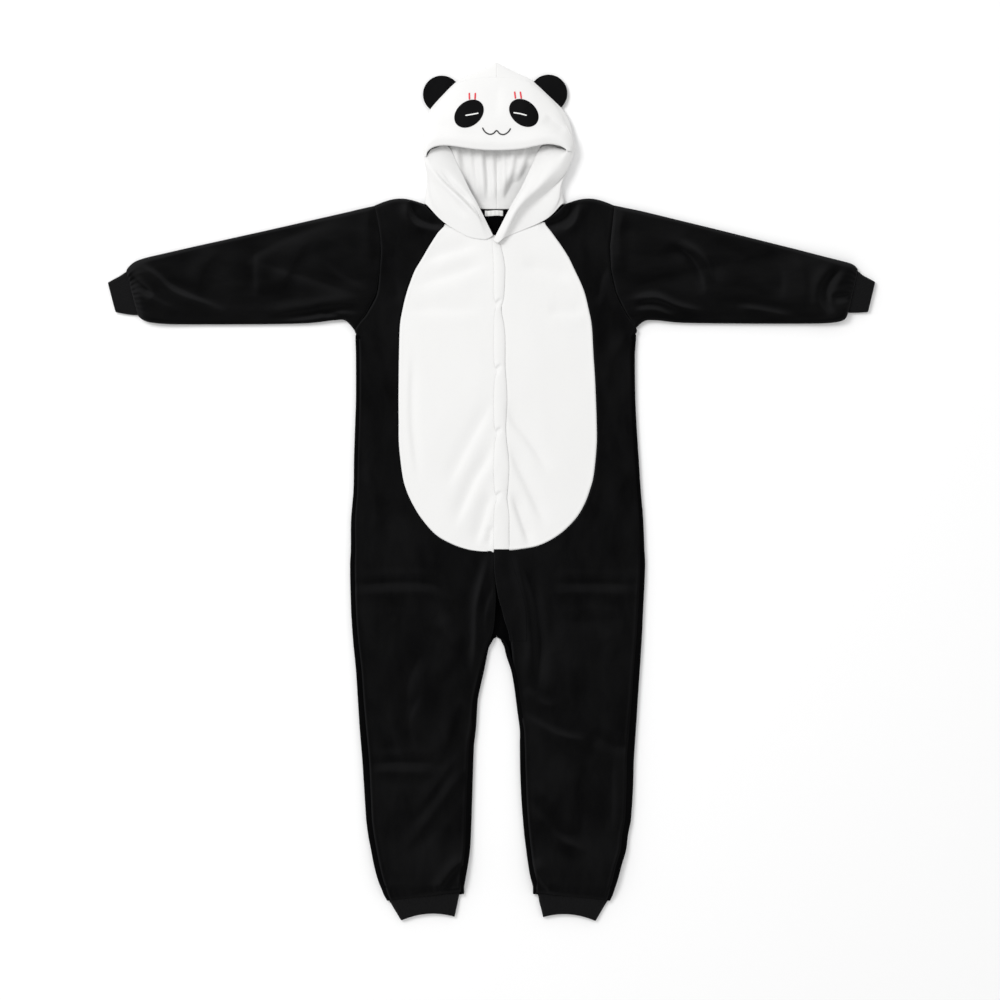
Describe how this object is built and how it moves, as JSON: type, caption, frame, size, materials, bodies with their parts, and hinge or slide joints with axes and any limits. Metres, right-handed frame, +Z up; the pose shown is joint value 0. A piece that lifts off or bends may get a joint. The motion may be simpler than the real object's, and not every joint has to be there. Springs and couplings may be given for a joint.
{
  "type": "panda onesie",
  "caption": "Hooded all-in-one fleece costume of a panda, black with a white belly and hood, rib cuffs and a front fly, laid out flat on its back.",
  "frame": {"origin": "on the surface that the garment lies on, under the middle of its outline", "axes": "+Y from the ankles to the hood, +Z up through the layers to the front of the garment, +X to the side of the garment's own left arm"},
  "size_m": [1.5741, 1.7566, 0.0466],
  "materials": {
    "black_fleece": "short brushed nap",
    "white_fleece": "short brushed nap",
    "black_rib": "1 by 1 rib knit",
    "patch_black": "short brushed nap",
    "white_thread": "satin stitch",
    "black_thread": "satin stitch",
    "red_thread": "satin stitch",
    "label_satin": "satin ribbon"
  },
  "bodies": {
    "root": {"back_l": "black_fleece", "back_r": "black_fleece", "front_l": "black_fleece", "front_r": "black_fleece", "belly_l": "white_fleece", "belly_r": "white_fleece", "fly_band_white": "white_fleece", "fly_band_black": "black_fleece", "sleeve_l": "black_fleece", "sleeve_r": "black_fleece", "wrist_cuff_l": "black_rib", "wrist_cuff_r": "black_rib", "ankle_cuff_l": "black_rib", "ankle_cuff_r": "black_rib", "hood_l": "white_fleece", "hood_r": "white_fleece", "hood_face": "white_fleece", "ear_l": "black_fleece", "ear_r": "black_fleece", "eye_patch_l": "patch_black", "eye_patch_r": "patch_black", "eye_line_l": "white_thread", "eye_line_r": "white_thread", "lash_inner_l": "red_thread", "lash_inner_r": "red_thread", "lash_outer_l": "red_thread", "lash_outer_r": "red_thread", "mouth": "black_thread", "neck_label": "label_satin"}
  },
  "joints": []
}
